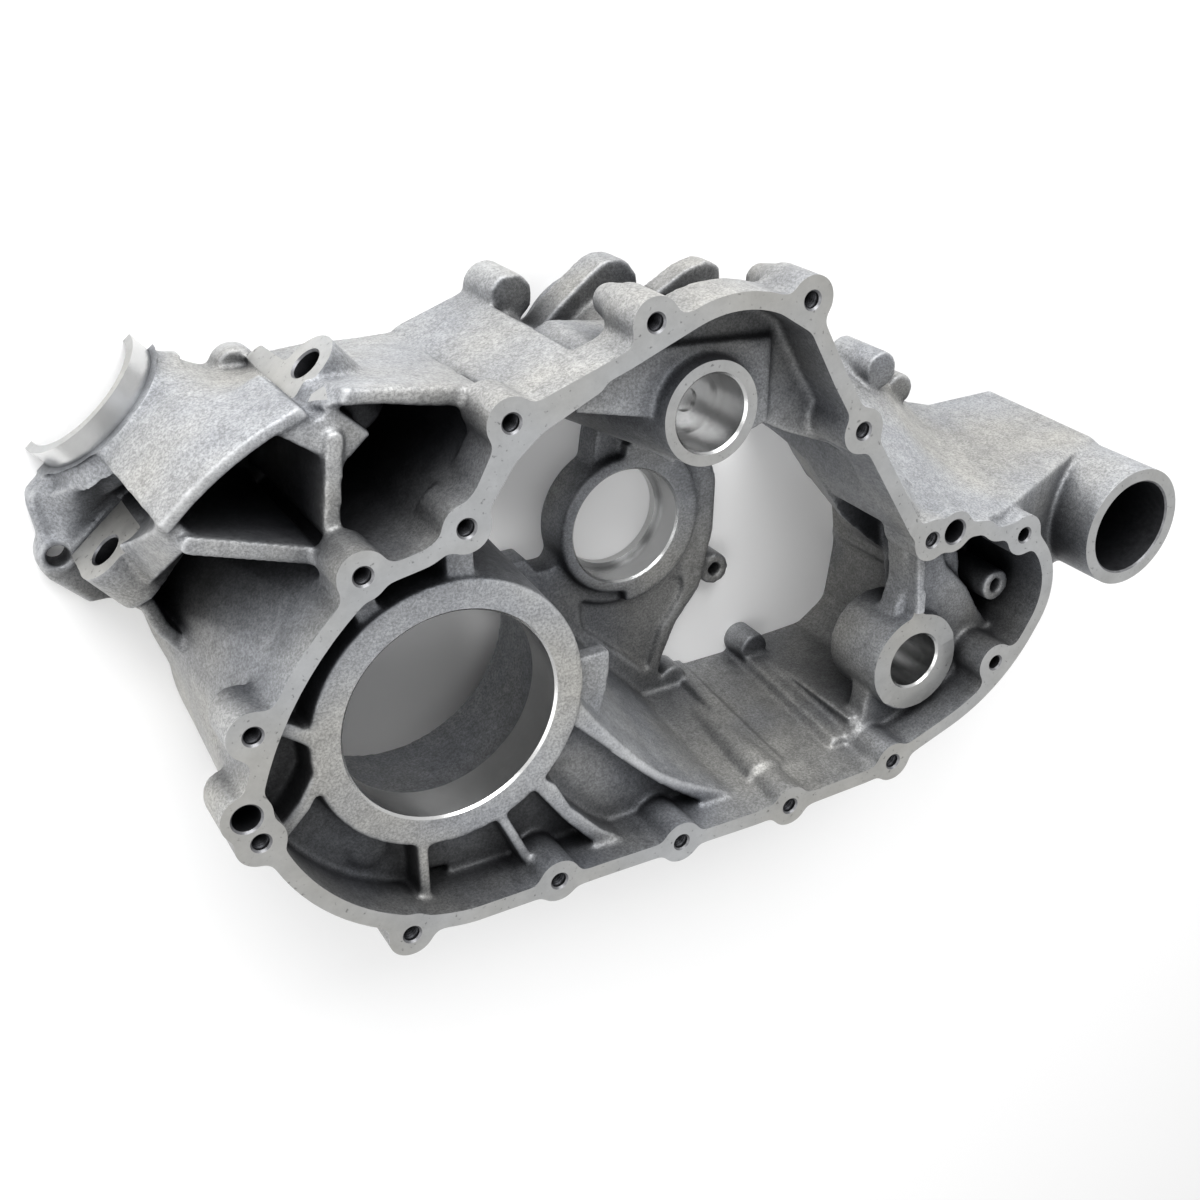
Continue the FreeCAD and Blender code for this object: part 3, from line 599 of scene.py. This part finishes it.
def cast_aluminium():
    made, tree, shader, spot = surface("cast_aluminium", 0.6)
    patches = noise(tree, spot, 22.0, 6.0, 0.65)
    colour = ramp(tree, patches, [(0.34, tuple(colours().cast_dark)), (0.66, tuple(colours().cast_light))])
    tint = ramp(tree, noise(tree, spot, 11.0, 2.0), [(0.42, grey(1.0)), (0.62, tuple(colours().stain))])
    colour = blend(tree, "MULTIPLY", 0.8, colour, tint)
    speckle = ramp(tree, noise(tree, spot, 900.0, 2.0, 0.8), [(0.36, grey(0.66)), (0.64, grey(1.16))])
    colour = blend(tree, "MULTIPLY", 1.0, colour, speckle)
    mottle = ramp(tree, noise(tree, spot, 190.0, 3.0, 0.7), [(0.35, grey(0.85)), (0.62, grey(1.05))])
    colour = blend(tree, "MULTIPLY", 1.0, colour, mottle)
    # Lighter colour on sharp convex crests of ribs and edges
    edge = node(tree, "ShaderNodeAttribute", attribute_name="crest").outputs["Fac"]
    wear = ramp(tree, edge, [(0.35, grey(0.0)), (0.95, grey(0.55))])
    colour = blend(tree, "MIX", wear, colour, tuple(colours().lightened))
    # Painted shade in the recesses of the cast skin
    colour = with_painted_shade(tree, colour)
    tree.links.new(colour, shader.inputs["Base Color"])
    rough = ramp(tree, noise(tree, spot, 90.0, 3.0), [(0.3, grey(0.44)), (0.7, grey(0.60))])
    tree.links.new(rough, shader.inputs["Roughness"])
    grain(tree, shader, spot, 1500.0, 0.6)
    return made


def milled_aluminium():
    made, tree, shader, spot = surface("milled_aluminium", 0.75)
    colour = ramp(tree, noise(tree, spot, 35.0, 8.0, 0.75),
                  [(0.30, tuple(0.72 * c for c in colours().milled)), (0.70, tuple(colours().milled))])
    tint = ramp(tree, noise(tree, spot, 9.0, 2.0), [(0.40, grey(1.0)), (0.60, tuple(colours().stain))])
    colour = blend(tree, "MULTIPLY", 0.7, colour, tint)
    pits = ramp(tree, noise(tree, spot, 420.0, 2.0, 0.6), [(0.28, grey(0.35)), (0.36, grey(1.0))])
    colour = blend(tree, "MULTIPLY", 0.7, colour, pits)
    tree.links.new(colour, shader.inputs["Base Color"])
    rough = ramp(tree, noise(tree, spot, 160.0, 4.0), [(0.3, grey(0.36)), (0.7, grey(0.50))])
    tree.links.new(rough, shader.inputs["Roughness"])
    grain(tree, shader, spot, 2600.0, 0.2)
    return made


def turned_aluminium():
    made, tree, shader, spot = surface("turned_aluminium", 1.0)
    colour = ramp(tree, noise(tree, spot, 60.0, 3.0),
                  [(0.30, tuple(0.85 * c for c in colours().turned)), (0.70, tuple(colours().turned))])
    # The turned seats take part of the painted recess shade
    colour = blend(tree, "MIX", 0.6, colour, with_painted_shade(tree, colour))
    tree.links.new(colour, shader.inputs["Base Color"])
    shader.inputs["Roughness"].default_value = 0.26
    stretch = node(tree, "ShaderNodeMapping")
    stretch.inputs["Scale"].default_value = (0.02, 0.02, 1.0)
    tree.links.new(spot, stretch.inputs["Vector"])
    grain(tree, shader, stretch.outputs["Vector"], 5200.0, 0.16)
    return made


def drilled_aluminium():
    made, tree, shader, spot = surface("drilled_aluminium", 0.8)
    colour = ramp(tree, noise(tree, spot, 300.0, 2.0),
                  [(0.3, tuple(0.6 * c for c in colours().drilled)), (0.7, tuple(colours().drilled))])
    # Painted shade in the recesses of the drilled holes
    colour = with_painted_shade(tree, colour)
    tree.links.new(colour, shader.inputs["Base Color"])
    shader.inputs["Roughness"].default_value = 0.42
    grain(tree, shader, spot, 2000.0, 0.2)
    return made


def read(elements, name, width, kind=float):
    """Values of a mesh's points, edges or faces as rows."""
    values = np.zeros(len(elements) * width, kind)
    elements.foreach_get(name, values)
    return values.reshape(-1, width)


def face_kinds(mesh):
    """Tells which faces are cast, milled, turned or drilled, from where they lie."""
    centres = read(mesh.polygons, "center", 3)
    normals = read(mesh.polygons, "normal", 3)
    kind = np.full(len(mesh.polygons), CAST)
    flat = np.abs(normals[:, 2]) > SQUARE
    kind[flat & (centres[:, 2] > CASE_DEPTH - ON_PLANE)] = MILLED
    kind[flat & (centres[:, 2] < ON_PLANE)] = MILLED
    offset = centres - np.array(NOSE_FOOT)
    along = offset @ np.array(NOSE_AXIS)
    ends = np.abs(normals @ np.array(NOSE_AXIS)) > SQUARE
    for end in [NOSE_END] + [pad[0] for pad in PADS.values()]:
        kind[ends & (np.abs(along - end) < ON_PLANE)] = MILLED
    across = np.hypot(offset @ np.array(NOSE_SIDE), centres[:, 2])
    short = along < NOSE_END - ON_ROUND
    kind[short & (along > NOSE_PLUG - PAD_EDGE) & (across < NOSE_SEAT_R + ON_ROUND)] = TURNED
    kind[short & (along > NOSE_TURNED - ON_ROUND) & (np.abs(across - NOSE_RING) < ON_ROUND)] = TURNED
    for name, (ring, foot, steps) in SEATS.items():
        level = seat_level(name)
        spot = np.array(MOUNTS[name]["pos_m"])
        reach = np.hypot(centres[:, 0] - spot[0], centres[:, 1] - spot[1])
        kind[flat & (np.abs(centres[:, 2] - level) < ON_PLANE) & (reach < ring + FACING[0])] = MILLED
        deep = (centres[:, 2] > foot - BEYOND) & (centres[:, 2] < level - ON_PLANE)
        kind[deep & (reach < steps[-1][0] + SEAT_CHAMFER)] = TURNED
    for mount in holes():
        foot, axis, radius, length = bore_ends(mount)
        line = np.array(axis)
        offset = centres - np.array(foot)
        along = offset @ line
        across = np.linalg.norm(offset - np.outer(along, line), axis=1)
        kind[(along > -BEYOND) & (along < length - ON_PLANE) & (across < radius + HOLE_EDGE)] = DRILLED
    return kind


def neighbour_mean(values, edges, count):
    """Mean of each point's neighbours, for one number or vector per point."""
    both = np.concatenate([edges, edges[:, ::-1]])
    degree = np.maximum(np.bincount(both[:, 0], minlength=count), 1)
    columns = [np.bincount(both[:, 0], weights=column[both[:, 1]], minlength=count) / degree
               for column in values.reshape(count, -1).T]
    return np.stack(columns, axis=1).reshape(values.shape)


def mark_surface(mesh):
    """Stores how sharp a crest each point is on, for the lighter crests in the cast material."""
    count = len(mesh.vertices)
    places = read(mesh.vertices, "co", 3)
    normals = read(mesh.vertices, "normal", 3)
    edges = read(mesh.edges, "vertices", 2, int)
    long = np.linalg.norm(places[edges[:, 0]] - places[edges[:, 1]], axis=1)
    degree = np.maximum(np.bincount(edges.ravel(), minlength=count), 1)
    mean_edge = np.bincount(edges.ravel(), weights=np.repeat(long, 2), minlength=count) / degree
    bulge = ((places - neighbour_mean(places, edges, count)) * normals).sum(axis=1)
    crest = np.clip(2 * bulge / np.maximum(mean_edge, 1e-6) ** 2 * sizes().crest_radius, 0, 1)
    for _ in range(CREST_PASSES):
        crest = 0.5 * crest + 0.5 * neighbour_mean(crest, edges, count)
    layer = mesh.attributes.new("crest", "FLOAT", "POINT")
    layer.data.foreach_set("value", crest.astype(np.float32))


def shade(mesh):
    for face in mesh.polygons:
        face.use_smooth = True
    mesh.set_sharp_from_angle(angle=math.radians(SHARP_ANGLE))


class HOUSING_OT_camera(bpy.types.Operator):
    """Places the camera where the photograph was taken"""

    bl_idname = "housing.camera"
    bl_label = "Place camera"

    def execute(self, context):
        data = bpy.data.cameras.new("photo_camera")
        data.lens = studio().camera_lens
        data.sensor_width = 36.0
        data.clip_end = 20.0
        camera = bpy.data.objects.new("photo_camera", data)
        context.scene.collection.objects.link(camera)
        camera.matrix_world = Matrix.Translation(Vector(studio().camera_place)) @ CAMERA_TURN.to_4x4()
        context.scene.camera = camera
        return {"FINISHED"}


class HOUSING_OT_stage(bpy.types.Operator):
    """Adds the pale floor and the soft studio lights"""

    bl_idname = "housing.stage"
    bl_label = "Add stage"

    def execute(self, context):
        bm = bmesh.new()
        level = Matrix.Translation((0, 0, CAD_BOX[0][2] - FLOOR_DROP))
        bmesh.ops.create_grid(bm, x_segments=1, y_segments=1, size=6.0, matrix=level)
        floor = new_object("floor", mesh_of(bm, "floor"))
        paint, _, shader, _ = surface("floor_paint", 0.0)
        shader.inputs["Base Color"].default_value = (*colours().floor, 1.0)
        shader.inputs["Roughness"].default_value = 0.9
        floor.data.materials.append(paint)
        self.area_light(context, "key_light", (-0.15, 1.25, 0.75), 1.2, studio().key_power)
        self.area_light(context, "fill_light", (-1.1, -0.2, 1.1), 1.0, studio().fill_power)
        world = bpy.data.worlds.new("soft_surround")
        world.use_nodes = True
        background = world.node_tree.nodes["Background"]
        background.inputs["Color"].default_value = (1.0, 1.0, 1.0, 1.0)
        background.inputs["Strength"].default_value = studio().surround
        context.scene.world = world
        context.scene.view_settings.view_transform = "Standard"
        return {"FINISHED"}

    def area_light(self, context, name, place, size, power):
        data = bpy.data.lights.new(name, "AREA")
        data.size = size
        data.energy = power
        light = bpy.data.objects.new(name, data)
        light.location = place
        aim = Vector((0, 0, LIGHT_AIM)) - Vector(place)
        light.rotation_euler = aim.to_track_quat("-Z", "Y").to_euler()
        context.scene.collection.objects.link(light)


class HOUSING_OT_casting(bpy.types.Operator):
    """Makes the casting with stock on it, machines it, and gives it its metal"""

    bl_idname = "housing.casting"
    bl_label = "Cast and machine housing"

    def execute(self, context):
        mesh = machined(cast_skin(rough_casting()))
        piece = new_object("housing_casting", mesh)
        mesh.materials.clear()
        for finish in (cast_aluminium, milled_aluminium, turned_aluminium, drilled_aluminium):
            mesh.materials.append(finish())
        mesh.polygons.foreach_set("material_index", face_kinds(mesh).tolist())
        shade(mesh)
        mark_surface(mesh)
        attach(piece, "root")
        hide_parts("housing")
        return {"FINISHED"}


class HOUSING_PT_panel(bpy.types.Panel):
    """Lists the housing's steps"""

    bl_idname = "HOUSING_PT_panel"
    bl_label = "Housing"
    bl_space_type = "VIEW_3D"
    bl_region_type = "UI"
    bl_category = "Housing"

    def draw(self, context):
        for step in STEPS:
            self.layout.operator(step.bl_idname)


STEPS = (HOUSING_OT_camera, HOUSING_OT_stage, HOUSING_OT_casting)
CLASSES = (CastingSizes, FinishColours, StudioSettings) + STEPS + (HOUSING_PT_panel,)


def register():
    for item in CLASSES:
        bpy.utils.register_class(item)
    bpy.types.Scene.housing_sizes = bpy.props.PointerProperty(type=CastingSizes)
    bpy.types.Scene.housing_colours = bpy.props.PointerProperty(type=FinishColours)
    bpy.types.Scene.housing_studio = bpy.props.PointerProperty(type=StudioSettings)


def unregister():
    del bpy.types.Scene.housing_studio
    del bpy.types.Scene.housing_colours
    del bpy.types.Scene.housing_sizes
    for item in reversed(CLASSES):
        bpy.utils.unregister_class(item)


def main():
    register()
    bpy.ops.housing.camera()
    bpy.ops.housing.stage()
    bpy.ops.housing.casting()


if __name__ == "__main__":
    main()
